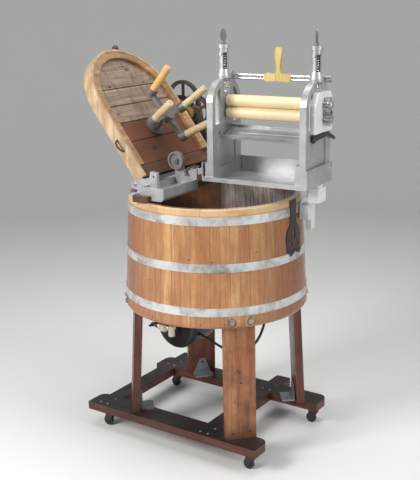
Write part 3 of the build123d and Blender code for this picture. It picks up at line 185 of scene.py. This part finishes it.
def metal(name, base, dirt, rough, metallic, scale=9.0, patch=0.5, pits=0.25, fleck=0.3):
    """Metal or paint: mottled tone, dirt in patches and fine pits."""
    s = Shader(name)
    broad = s.noise(s.coords, scale, 6.0, 0.65, 0.4)
    small = s.noise(s.coords, scale * 16, 4.0, 0.6)
    colour = s.mix(s.span(broad, 0.42, 0.72, 0.0, patch), base, dirt)
    colour = s.mix(s.span(small, 0.5, 0.8, 0.0, fleck), colour, dirt)
    gloss = s.span(small, 0.3, 0.7, rough - 0.08, rough + 0.14)
    return s.finish(colour, gloss, small, pits, 0.0006, metallic)


VIEW_RIGHT, VIEW_FRONT = (0.829, 0.559, 0), (0.56, -0.829, 0)
STAVES = 30
LEAN_DEGREES = 37.5
LEAN = math.radians(LEAN_DEGREES)
LID_UP = (-math.sin(LEAN), 0, math.cos(LEAN))
LID_ORIGIN = (-0.1680, 0, 1.0000)
LID_SEAMS = (-0.001, 0.091, 0.166, 0.233, 0.300)
# across the lid, up the lid, radius
KNOTS = [(0.04, 0.37, 0.014), (0.03, 0.385, 0.008), (-0.10, 0.31, 0.012), (-0.06, 0.05, 0.020),
         (0.09, 0.31, 0.010), (-0.14, 0.20, 0.008), (0.12, 0.20, 0.009)]


def tub_marks_and_shade(s, colour, fine):
    """Painted dark red shade on the tub's left and right sides, dark stave seams, a pale rim, and a bleached
    inside wall painted pale where lit and dark as shade.
    """
    x, y, z = s.axis("X"), s.axis("Y"), s.axis("Z")
    across = s.along(VIEW_RIGHT)
    # Painted shade: dark red over the tub's left and right sides, seen across the front view.
    right_edge_shade = s.span(across, 0.12, 0.27, 0.0, 0.8)
    left_edge_shade = s.span(across, -0.17, -0.29, 0.0, 0.85)
    red = s.maths("MAXIMUM", right_edge_shade, left_edge_shade)
    colour = s.mix(red, colour, (0.20, 0.058, 0.026))
    blotch = s.noise(s.stretched((5, 5, 1.6)), 1.6, 5.0, 0.6, 0.6)
    colour = s.mix(s.span(blotch, 0.50, 0.66, 0.0, 0.6), colour, (0.30, 0.10, 0.045))
    bearing = s.maths("ARCTAN2", y, x)
    stave = s.maths("FRACT", s.maths("MULTIPLY", bearing, STAVES / (2 * math.pi)), 0)
    seam = s.maths("ABSOLUTE", s.maths("SUBTRACT", stave, 0.5), 0)
    colour = s.mix(s.span(seam, 0.482, 0.497, 0.0, 0.85), colour, (0.05, 0.02, 0.01))
    colour = s.mix(s.span(z, 0.866, 0.872, 0.0, 0.85), colour, (0.70, 0.49, 0.26))
    low_edge = s.span(z, 0.56, 0.50, 0.0, 0.55)
    colour = s.mix(low_edge, colour, (0.34, 0.13, 0.06))
    radius = s.length(x, y)
    # Inside wall: bleached grey wood painted pale on the right half where light falls, and painted dark brown
    # shade on the left half.
    inside_lit_and_shaded = s.mix(s.span(across, 0.02, 0.06), (0.13, 0.07, 0.045), (0.62, 0.56, 0.52))
    inside_lit_and_shaded = s.mix(s.span(fine, 0.38, 0.6, 0.6, 0.0), inside_lit_and_shaded, (0.09, 0.055, 0.04))
    inside_lit_and_shaded = s.mix(s.span(seam, 0.47, 0.497, 0.0, 0.8), inside_lit_and_shaded, (0.03, 0.018, 0.012))
    return s.mix(s.span(radius, 0.2925, 0.2885), colour, inside_lit_and_shaded)


def lid_age(s, colour, fine):
    """Weathered upper boards and two red lower ones, dark seams, and a few large knots."""
    height = s.along(LID_UP, LID_ORIGIN)
    colour = s.mix(s.span(height, 0.1665, 0.1655), colour, (0.19, 0.066, 0.03))
    colour = s.mix(s.span(fine, 0.36, 0.6, 0.25, 0.0), colour, (0.07, 0.035, 0.02))
    grime = s.noise(s.stretched((3, 8, 3)), 3.2, 6.0, 0.65, 1.0)
    colour = s.mix(s.span(grime, 0.5, 0.68, 0.0, 0.6), colour, (0.09, 0.055, 0.035))
    for seam in LID_SEAMS:
        gap = s.maths("ABSOLUTE", s.maths("SUBTRACT", height, seam), 0)
        colour = s.mix(s.span(gap, 0.0035, 0.0012, 0.0, 0.9), colour, (0.035, 0.02, 0.014))
    for across, up, size in KNOTS:
        dy = s.maths("SUBTRACT", s.axis("Y"), across)
        dh = s.maths("MULTIPLY", s.maths("SUBTRACT", height, up), 1.7)
        ragged = s.maths("MULTIPLY", s.maths("SUBTRACT", fine, 0.5), size * 0.8)
        reach = s.maths("ADD", s.length(dy, dh), ragged)
        colour = s.mix(s.span(reach, size, size * 0.45, 0.0, 0.9), colour, (0.05, 0.025, 0.017))
    return colour


def leg_age(s, colour, fine):
    """Lighter, worn orange on the front leg, dark scuffs down it, and grime at the feet."""
    front = s.span(s.along(VIEW_FRONT), 0.22, 0.25)
    streaks = s.noise(s.stretched((30, 30, 1.2)), 1.4, 5.0, 0.6)
    worn = s.mix(s.span(streaks, 0.35, 0.65), (0.28, 0.09, 0.036), (0.52, 0.23, 0.10))
    worn = s.mix(s.span(fine, 0.34, 0.6, 0.5, 0.0), worn, (0.12, 0.04, 0.02))
    colour = s.mix(front, colour, worn)
    scuff = s.cells(s.stretched((1, 1, 0.8)), 19.0)
    colour = s.mix(s.span(scuff, 0.0, 0.16, 0.75, 0.0), colour, (0.06, 0.025, 0.015))
    return s.mix(s.span(s.axis("Z"), 0.16, 0.10, 0.0, 0.6), colour, (0.05, 0.022, 0.014))


def base_age(s, colour, fine):
    """Black grime on the upper faces, worn through to red in patches."""
    patch = s.noise(s.coords, 9.0, 6.0, 0.7, 0.8)
    top = s.mix(s.span(patch, 0.5, 0.66), (0.016, 0.012, 0.012), (0.085, 0.028, 0.020))
    top = s.mix(s.span(fine, 0.4, 0.6, 0.5, 0.0), top, (0.008, 0.007, 0.007))
    return s.mix(s.span(s.axis("Z"), 0.0955, 0.0968), colour, top)


def peg_age(s, colour, fine):
    """The highest peg is newer and more orange than the others."""
    tone = s.mix(s.span(fine, 0.36, 0.6, 0.35, 0.0), (0.84, 0.50, 0.17), (0.55, 0.27, 0.08))
    return s.mix(s.span(s.along(LID_UP, LID_ORIGIN), 0.178, 0.184), colour, tone)


tub_wood = wood("tub staves", (0.48, 0.20, 0.075), (0.80, 0.50, 0.235), "Z", 0.5, 0.28,
                (0.36, 0.13, 0.05), extra=tub_marks_and_shade, gloss=0.35)
floor_wood = wood("tub floor", (0.20, 0.11, 0.05), (0.36, 0.23, 0.12), "X", 0.3, 0.7, (0.10, 0.06, 0.03))
leg_wood = wood("leg planks", (0.11, 0.030, 0.017), (0.26, 0.080, 0.042), "Z", 0.35, 0.36,
                (0.04, 0.016, 0.011), extra=leg_age)
runner_wood = wood("runners", (0.07, 0.018, 0.012), (0.18, 0.050, 0.030), "X", 0.3, 0.42,
                   (0.02, 0.012, 0.011), extra=base_age)
cross_wood = wood("cross members", (0.07, 0.018, 0.012), (0.18, 0.050, 0.030), "Y", 0.3, 0.42,
                  (0.02, 0.012, 0.011), extra=base_age)
beam_wood = wood("bridge beam", (0.05, 0.025, 0.014), (0.12, 0.06, 0.03), "Y", 0.2, 0.5,
                 (0.10, 0.05, 0.03))
board_wood = wood("lid boards", (0.36, 0.25, 0.17), (0.56, 0.42, 0.32), "Y", 0.5, 0.5, extra=lid_age)
ring_wood = wood("lid ring", (0.34, 0.18, 0.08), (0.60, 0.37, 0.19), "Y", 0.0, 0.5, (0.12, 0.06, 0.03))
hoop_wood = wood("lid hoop", (0.44, 0.275, 0.15), (0.76, 0.58, 0.38), "Z", 0.0, 0.5, (0.24, 0.13, 0.06),
                 turn=(0, -LEAN_DEGREES, 0))
rail_wood = wood("lid rails", (0.10, 0.04, 0.02), (0.22, 0.10, 0.05), "Y", 0.3, 0.6, (0.11, 0.055, 0.03))
peg_wood = wood("pegs", (0.62, 0.46, 0.25), (0.88, 0.74, 0.50), "X", 0.3, 0.5,
                (0.50, 0.34, 0.19), bump=0.15, extra=peg_age)
handle_wood = wood("release handle", (0.62, 0.45, 0.14), (0.86, 0.70, 0.32), "Z", 0.1, 0.3,
                   (0.40, 0.24, 0.07), bump=0.15)

zinc = metal("zinc", (0.78, 0.785, 0.785), (0.22, 0.20, 0.185), 0.36, 0.6, 14.0, 1.0, 0.2)
bolt_iron = metal("bolt iron", (0.46, 0.44, 0.42), (0.10, 0.075, 0.06), 0.4, 0.7, 60.0, 1.0, 0.3)
silver = metal("silver paint", (0.52, 0.525, 0.54), (0.20, 0.195, 0.20), 0.38, 0.6, 5.0, 0.65, 0.05, 0.1)
grey_cast = metal("grey casting", (0.27, 0.26, 0.255), (0.11, 0.10, 0.095), 0.42, 0.6, 18.0, 0.6, 0.3)
dark_iron = metal("dark iron", (0.060, 0.058, 0.058), (0.12, 0.075, 0.05), 0.4, 0.5, 20.0, 0.5, 0.4)
steel = metal("steel", (0.62, 0.62, 0.62), (0.28, 0.25, 0.22), 0.25, 0.95, 22.0, 0.5, 0.08)
black = metal("black paint", (0.020, 0.020, 0.022), (0.05, 0.045, 0.04), 0.35, 0.1, 12.0, 0.5)
# Silver paint brightened to near white as a painted highlight, used on the gear guard and the wringer post.
highlit_silver = metal("white paint", (0.80, 0.80, 0.80), (0.50, 0.49, 0.48), 0.32, 0.15, 8.0, 0.4, 0.05, 0.1)
bracket_zinc = metal("blue zinc", (0.34, 0.37, 0.41), (0.12, 0.11, 0.11), 0.42, 0.6, 16.0, 0.8, 0.3)
brass = metal("nickel brass", (0.62, 0.55, 0.45), (0.22, 0.17, 0.12), 0.27, 0.9, 22.0, 0.7, 0.1)
cream = metal("roll rubber", (0.84, 0.70, 0.43), (0.62, 0.46, 0.25), 0.42, 0.0, 7.0, 0.5, 0.12)
leather = metal("belt leather", (0.10, 0.055, 0.03), (0.035, 0.022, 0.015), 0.6, 0.0, 26.0, 0.6, 0.5)
rubber = metal("cable rubber", (0.014, 0.014, 0.014), (0.05, 0.045, 0.04), 0.5, 0.0, 30.0, 0.5, 0.3)


def gear_look():
    """Dark iron teeth and web round a brass hub."""
    s = Shader("ring gear iron")
    x = s.maths("SUBTRACT", s.axis("X"), GEAR_X)
    z = s.maths("SUBTRACT", s.axis("Z"), GEAR_Z)
    radius = s.length(x, z)
    mottle = s.noise(s.coords, 22.0, 5.0)
    iron = s.mix(mottle, (0.05, 0.047, 0.046), (0.16, 0.13, 0.11))
    gold = s.mix(mottle, (0.62, 0.42, 0.12), (0.35, 0.20, 0.06))
    return s.finish(s.mix(s.span(radius, 0.0245, 0.0235), iron, gold), 0.4, mottle, 0.3, 0.0008, 0.6)


low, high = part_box("ring_gear")
GEAR_X, GEAR_Z = (low[0] + high[0]) / 2, (low[2] + high[2]) / 2
gear_iron = gear_look()

LOOK = {
    "tub_staves": tub_wood, "tub_floor": floor_wood, "legs": leg_wood, "runners": runner_wood,
    "cross_members": cross_wood, "bridge_beam": beam_wood, "lid_boards": board_wood,
    "lid_ring": ring_wood, "lid_hoop": hoop_wood, "lid_rails": rail_wood, "dolly_pegs": peg_wood,
    "release_handle": handle_wood, "hoops": zinc, "leg_bolts": bolt_iron, "caster_plates": dark_iron,
    "leg_brackets": bracket_zinc, "tub_strap": dark_iron, "hinge_straps": dark_iron,
    "lid_knob": dark_iron, "shift_lever": black, "ring_gear": gear_iron, "flywheel": dark_iron,
    "faucet_plug": black, "faucet": brass, "gear_trough": silver, "hinge_lugs": silver,
    "wringer_tray": silver, "side_frame_left": silver, "side_frame_right": silver,
    "pressure_barrels": silver, "pressure_screw_left": grey_cast, "pressure_screw_right": grey_cast,
    "drive_stand": dark_iron, "top_bearings": silver, "drip_board": silver, "hinge_pin": steel,
    "lower_roll_shaft": steel, "upper_roll_shaft": steel, "pressure_springs": steel,
    "release_bar": steel, "motor_pulley": steel, "dolly_housing": grey_cast, "dolly_cross": grey_cast,
    "trough_wheel": grey_cast, "lower_roll": cream, "upper_roll": cream, "gear_guard": highlit_silver,
    "wringer_post": highlit_silver, "motor": black, "junction_box": black, "belt": leather, "cable": rubber,
}
for place in ("front_left", "front_right", "rear_left", "rear_right"):
    LOOK[f"caster_fork_{place}"] = black
    LOOK[f"caster_wheel_{place}"] = black
for name, material in LOOK.items():
    mesh = nodes[name].data
    mesh.materials.clear()
    mesh.materials.append(material)


# ------------------------------------------------------------ small helpers
def mesh_object(name, work, material):
    """Turn a finished bmesh into an object of the scene."""
    mesh = bpy.data.meshes.new(name)
    work.to_mesh(mesh)
    work.free()
    mesh.materials.append(material)
    obj = bpy.data.objects.new(name, mesh)
    bpy.context.scene.collection.objects.link(obj)
    return obj


def solid(name, build, material, body):
    """A mesh piece made by a bmesh function, riding on a body."""
    work = bmesh.new()
    build(work)
    bmesh.ops.recalc_face_normals(work, faces=work.faces)
    obj = mesh_object(name, work, material)
    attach(obj, body)
    return obj


def smooth(obj, angle=40):
    for face in obj.data.polygons:
        face.use_smooth = True
    obj.data.set_sharp_from_angle(angle=math.radians(angle))


def tube_along(work, points, radius, sides=8):
    """Round tube through many close points, closed at both ends."""
    rings = []
    side = None
    turns = [2 * math.pi * k / sides for k in range(sides)]
    for i, point in enumerate(points):
        ahead, behind = points[min(i + 1, len(points) - 1)], points[max(i - 1, 0)]
        way = (ahead - behind).normalized()
        if side is None:
            side = way.orthogonal().normalized()
        side = (side - way * side.dot(way)).normalized()
        other = way.cross(side)
        rings.append([work.verts.new(point + (side * math.cos(a) + other * math.sin(a)) * radius)
                      for a in turns])
    for first, second in zip(rings[:-1], rings[1:]):
        for k in range(sides):
            after = (k + 1) % sides
            work.faces.new((first[k], first[after], second[after], second[k]))
    work.faces.new(rings[0][::-1])
    work.faces.new(rings[-1])


def domes(work, spots, radius, height):
    """Low round heads; each spot is (position, outward direction)."""
    for position, way in spots:
        turn = way.to_track_quat("Z", "Y").to_matrix().to_4x4()
        place = Matrix.Translation(position) @ turn @ Matrix.Diagonal((radius, radius, height, 1))
        bmesh.ops.create_uvsphere(work, u_segments=14, v_segments=8, radius=1.0, matrix=place)


# ------------------------------------------------------------ screws, rivets and bolts
TUB_RADIUS, TUB_TOP, TUB_FLARE = 298.7, 891, 3.16
BASE_TOP, LEG_TOP, LEG_TOP_REACH = 97, 545, 290.5
HOOP_HEIGHTS = (853, 701, 555)
LEGS = ((-41.7, 305), (39.5, 313), (136.5, 305), (-139, 316))  # bearing and reach of the foot
UP = Vector((0, 0, 1))
LID_WAY = Vector(LID_UP)
LID_FACE = Vector((math.cos(LEAN), 0, math.sin(LEAN)))
LID_HALF = 0.016


def mm(x, y, z):
    return Vector((x, y, z)) / 1000


def heading(bearing):
    """Level direction at a bearing in degrees."""
    angle = math.radians(bearing)
    return Vector((math.cos(angle), math.sin(angle), 0))


def tub_face(bearing, z, proud):
    """A spot on the tub's flared side, with its outward direction."""
    reach = TUB_RADIUS + (TUB_TOP - z) * math.tan(math.radians(TUB_FLARE)) + proud
    way = heading(bearing)
    return mm(way.x * reach, way.y * reach, z), way


lap_spots = [(mm(x + dx, y + dy, BASE_TOP), UP) for x in (-347, 97) for y in (-209, 209)
             for dx, dy in ((-17, -22), (16, 20), (15, -24))]
rivet_spots = [tub_face(bearing, z + dz, 2.0)
               for z in HOOP_HEIGHTS for bearing in (88, 92) for dz in (-7, 7)]
nail_spots = [tub_face(bearing, z, 0.0)
              for bearing, z in ((-59, 722), (-73, 728), (-31, 745), (-101, 640),
                                 (-40, 512), (-52, 515), (-66, 513), (-98, 516))]
lid_spots = [(Vector(LID_ORIGIN) + LID_WAY * up / 1000 - LID_FACE * LID_HALF + mm(0, across, 0), LID_FACE)
             for up, across in ((20, -160), (70, -158), (110, -161), (148, -160), (184, -162),
                                (216, -160), (252, -163), (285, -158), (318, -140),
                                (20, 160), (70, 158), (110, 161), (148, 160), (184, 162),
                                (216, 160), (252, 163), (285, 158), (318, 140),
                                (395, 30), (392, -44))]
leg_spots = []
for bearing, foot in LEGS:
    way = heading(bearing)
    aside = Vector((-way.y, way.x, 0))
    for height, offset in ((118, -30), (121, 30), (297, 2), (333, -3)):
        share = (height - BASE_TOP) / (LEG_TOP - BASE_TOP)
        reach = foot + (LEG_TOP_REACH - foot) * share
        leg_spots.append(((way * reach + aside * offset + UP * height) / 1000, way))

lap_screws = solid("lap_screws", lambda work: domes(work, lap_spots, 0.0045, 0.0016),
                   bolt_iron, "machine")
hoop_rivets = solid("hoop_rivets", lambda work: domes(work, rivet_spots, 0.004, 0.002),
                    zinc, "machine")
stave_nails = solid("stave_nails", lambda work: domes(work, nail_spots, 0.0025, 0.0008),
                    dark_iron, "machine")
lid_nails = solid("lid_nails", lambda work: domes(work, lid_spots, 0.0032, 0.001),
                  dark_iron, "lid")
leg_screws = solid("leg_screws", lambda work: domes(work, leg_spots, 0.0042, 0.0012),
                   dark_iron, "machine")
for piece in (lap_screws, hoop_rivets, stave_nails, lid_nails, leg_screws):
    smooth(piece, 60)

# ------------------------------------------------------------ springs
ROLL_WAY = heading(3.9)
ACROSS = Vector((-ROLL_WAY.y, ROLL_WAY.x, 0))
SPRING_PLACES = (39, 372)
SPRING_TURNS, SPRING_RADIUS, SPRING_WIRE = 15, 10.5, 0.0019
TRAY_ENDS = ((389, ROLL_WAY), (8, -ROLL_WAY))


def wringer_point(w, n, z):
    """A point along the rolls, across them and above the floor, in mm."""
    return (ROLL_WAY * w + ACROSS * n) / 1000 + Vector((0, 0, z / 1000))


low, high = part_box("pressure_springs")


def spring_coils(work):
    steps = SPRING_TURNS * 20
    for w in SPRING_PLACES:
        points = []
        for k in range(steps + 1):
            a = 2 * math.pi * SPRING_TURNS * k / steps
            z = low[2] * 1000 + 2.2 + (high[2] - low[2]) * 1000 * k / steps * 0.965
            points.append(wringer_point(w + SPRING_RADIUS * math.cos(a), SPRING_RADIUS * math.sin(a), z))
        tube_along(work, points, SPRING_WIRE)


tray_spots = [(wringer_point(w, n, 986), way) for w, way in TRAY_ENDS for n in (-78, 80)]
tray_bolts = solid("tray_bolts", lambda work: domes(work, tray_spots, 0.0065, 0.0035),
                   silver, "wringer")
smooth(tray_bolts, 60)

springs = solid("coil_springs", spring_coils, steel, "wringer")
smooth(springs)
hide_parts("pressure_springs")
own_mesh(springs)

# ------------------------------------------------------------ cable
CABLE_ROUTE = [(-0.067, -0.014, 0.352), (-0.026, -0.017, 0.343), (0.016, -0.023, 0.330),
               (0.060, -0.030, 0.322), (0.104, -0.030, 0.324), (0.142, -0.022, 0.338),
               (0.170, -0.006, 0.366), (0.184, 0.010, 0.408), (0.191, 0.021, 0.455),
               (0.194, 0.028, 0.510)]
curve = bpy.data.curves.new("motor_cable", "CURVE")
curve.dimensions = "3D"
curve.bevel_depth = 0.0045
curve.bevel_resolution = 4
curve.use_fill_caps = True
curve.resolution_u = 16
line = curve.splines.new("NURBS")
line.points.add(len(CABLE_ROUTE) - 1)
for point, spot in zip(line.points, CABLE_ROUTE):
    point.co = (*spot, 1)
line.order_u = 3
line.use_endpoint_u = True
curve.materials.append(rubber)
cable = bpy.data.objects.new("motor_cable", curve)
bpy.context.scene.collection.objects.link(cable)
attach(cable, "machine")
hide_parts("cable")


# ------------------------------------------------------------ stage, light and camera
FLOOR_REACH, WALL_REACH, WALL_TOP, BOWL_SIDES = 3.5, 4.9, 4.2, 96


def studio_bowl(work):
    """Round floor that curves up into a wall, wide enough for a camera on any side."""
    bend = WALL_REACH - FLOOR_REACH
    profile = [(0.0, 0.0), (1.2, 0.0), (2.4, 0.0)]
    profile += [(FLOOR_REACH + bend * math.sin(a), bend - bend * math.cos(a))
                for a in [math.radians(7.5 * k) for k in range(13)]]
    profile.append((WALL_REACH, WALL_TOP))
    turns = [2 * math.pi * k / BOWL_SIDES for k in range(BOWL_SIDES)]
    rows = [[work.verts.new((reach * math.cos(a), reach * math.sin(a), z)) for a in turns]
            for reach, z in profile[1:]]
    work.faces.new(rows[0])
    for first, second in zip(rows[:-1], rows[1:]):
        for k in range(BOWL_SIDES):
            work.faces.new((first[k - 1], first[k], second[k], second[k - 1]))
    bmesh.ops.recalc_face_normals(work, faces=work.faces)
    bmesh.ops.reverse_faces(work, faces=work.faces)


paper = Shader("backdrop paper")
speck = paper.noise(paper.coords, 60.0, 3.0)
reach = paper.length(paper.axis("X"), paper.axis("Y"))
# Painted pool of light: the floor is lighter round the middle and greyer further out, and greyer again up the
# wall.
tone = paper.mix(paper.span(reach, 0.5, 4.5), (0.78, 0.78, 0.765), (0.60, 0.605, 0.595))
tone = paper.mix(paper.span(paper.axis("Z"), 0.0, 2.4), tone, (0.62, 0.625, 0.61))
tone = paper.mix(paper.span(speck, 0.4, 0.6, 0.0, 0.03), tone, (0.5, 0.5, 0.5))
paper_look = paper.finish(tone, 0.9)
bowl = bmesh.new()
studio_bowl(bowl)
backdrop = mesh_object("backdrop", bowl, paper_look)
smooth(backdrop, 60)

world = bpy.data.worlds.new("studio")
world.use_nodes = True
world.node_tree.nodes["Background"].inputs["Color"].default_value = (0.75, 0.77, 0.8, 1)
world.node_tree.nodes["Background"].inputs["Strength"].default_value = 0.42
bpy.context.scene.world = world
bpy.context.scene.view_settings.view_transform = "Standard"


def lamp(name, place, target, size, power, tone=(1, 1, 1)):
    light = bpy.data.lights.new(name, "AREA")
    light.shape = "RECTANGLE"
    light.size, light.size_y = size
    light.energy = power
    light.color = tone
    obj = bpy.data.objects.new(name, light)
    obj.location = place
    obj.rotation_euler = (Vector(target) - Vector(place)).to_track_quat("-Z", "Y").to_euler()
    bpy.context.scene.collection.objects.link(obj)


lamp("key", (-1.0, -2.7, 2.2), (0, 0, 0.72), (1.0, 1.2), 92, (1.0, 0.985, 0.96))
lamp("side", (2.6, -0.1, 2.0), (0, 0, 0.95), (1.0, 1.8), 34, (0.98, 0.99, 1.0))
lamp("top", (0.2, 0.2, 3.5), (0, 0, 0.8), (2.0, 2.0), 46)

CAMERA_PLACE = (1.729, -2.595, 1.566)
CAMERA_WAY = (-0.5400, 0.7991, -0.2641)
CAMERA_ROLL = -0.89
lens = bpy.data.cameras.new("camera")
lens.lens = 69.2
lens.sensor_width = 36
forward = Vector(CAMERA_WAY).normalized()
level = forward.cross(UP).normalized()
above = level.cross(forward)
roll = math.radians(CAMERA_ROLL)
right = level * math.cos(roll) + above * math.sin(roll)
above = right.cross(forward)
camera = bpy.data.objects.new("camera", lens)
turned = Matrix((right, above, -forward)).transposed().to_4x4()
camera.matrix_world = Matrix.Translation(CAMERA_PLACE) @ turned
bpy.context.scene.collection.objects.link(camera)
bpy.context.scene.camera = camera
